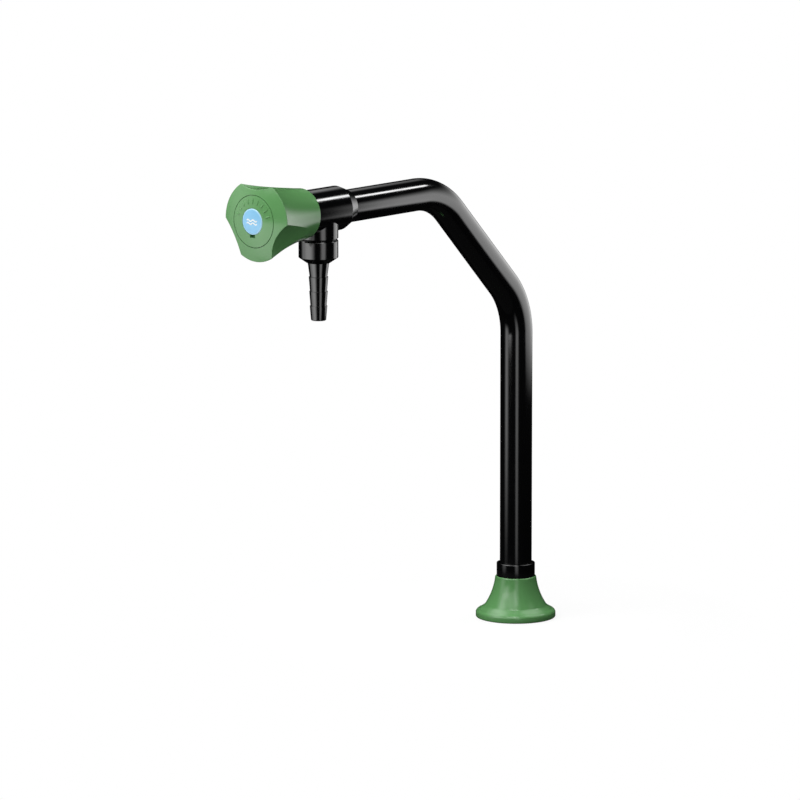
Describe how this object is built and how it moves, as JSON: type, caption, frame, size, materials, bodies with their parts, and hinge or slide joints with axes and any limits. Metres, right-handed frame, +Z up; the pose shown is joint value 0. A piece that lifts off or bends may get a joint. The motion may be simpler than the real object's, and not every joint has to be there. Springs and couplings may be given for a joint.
{
  "type": "laboratory bench tap",
  "caption": "Bench-mounted laboratory water tap: a swivelling bent column on a bell flange, with a lobed knob at the arm's end and a hose nozzle below.",
  "frame": {"origin": "centre of the foot's underside, where the supply thread opens, at deck level", "axes": "+Z up along the column, -Y along the arm towards the knob, +X to the right seen from the knob"},
  "size_m": [0.05, 0.2713, 0.2989],
  "materials": {
    "green_plastic": "moulded, soft gloss",
    "black_coating": "gloss powder coat on brass",
    "blue_plastic": "moulded, gloss",
    "brass": "turned",
    "stainless": "turned",
    "rubber": "matt black rubber",
    "white_plastic": "low-friction plastic",
    "fibre": "pressed fibre sealing ring"
  },
  "bodies": {
    "foot": {"base_flange": "green_plastic", "foot_body": "black_coating", "foot_seal": "rubber", "flange_grip_ring": "rubber", "swivel_grub_screw": "stainless"},
    "arm": {"column_spigot": "brass", "swivel_seal_lower": "rubber", "swivel_seal_upper": "rubber", "guide_ring": "white_plastic", "column_tube": "black_coating", "valve_body": "black_coating", "valve_seat": "stainless", "nozzle_gasket": "rubber", "outlet_nut": "black_coating", "hose_nozzle": "black_coating", "bonnet_gasket": "fibre", "bonnet": "brass"},
    "knob": {"spindle": "brass", "spindle_seal_rear": "rubber", "spindle_seal_front": "rubber", "thrust_washer": "white_plastic", "spindle_clip": "stainless", "knob_body": "green_plastic", "knob_insert": "brass", "knob_screw_washer": "stainless", "knob_screw": "stainless", "knob_cap": "green_plastic", "colour_disc": "blue_plastic"},
    "valve_carrier": {"jumper": "brass", "seat_washer": "rubber", "washer_screw": "stainless"}
  },
  "joints": [
    {"name": "column_swivel", "type": "hinge", "parent": "foot", "child": "arm", "pos_m": [0, 0, 0.02], "axis": [0, 0, 1], "continuous": true},
    {"name": "knob_turn", "type": "hinge", "parent": "arm", "child": "knob", "pos_m": [0, -0.2165, 0.2776], "axis": [0, -1, 0], "range_deg": [0, 540]},
    {"name": "carrier_slide", "type": "slide", "parent": "arm", "child": "valve_carrier", "axis": [0, -1, 0], "range_m": [0, 0.0038]}
  ],
  "couplings": [
    {"joint": "carrier_slide", "follows": "knob_turn", "m_per_rad": 0.00039789}
  ]
}
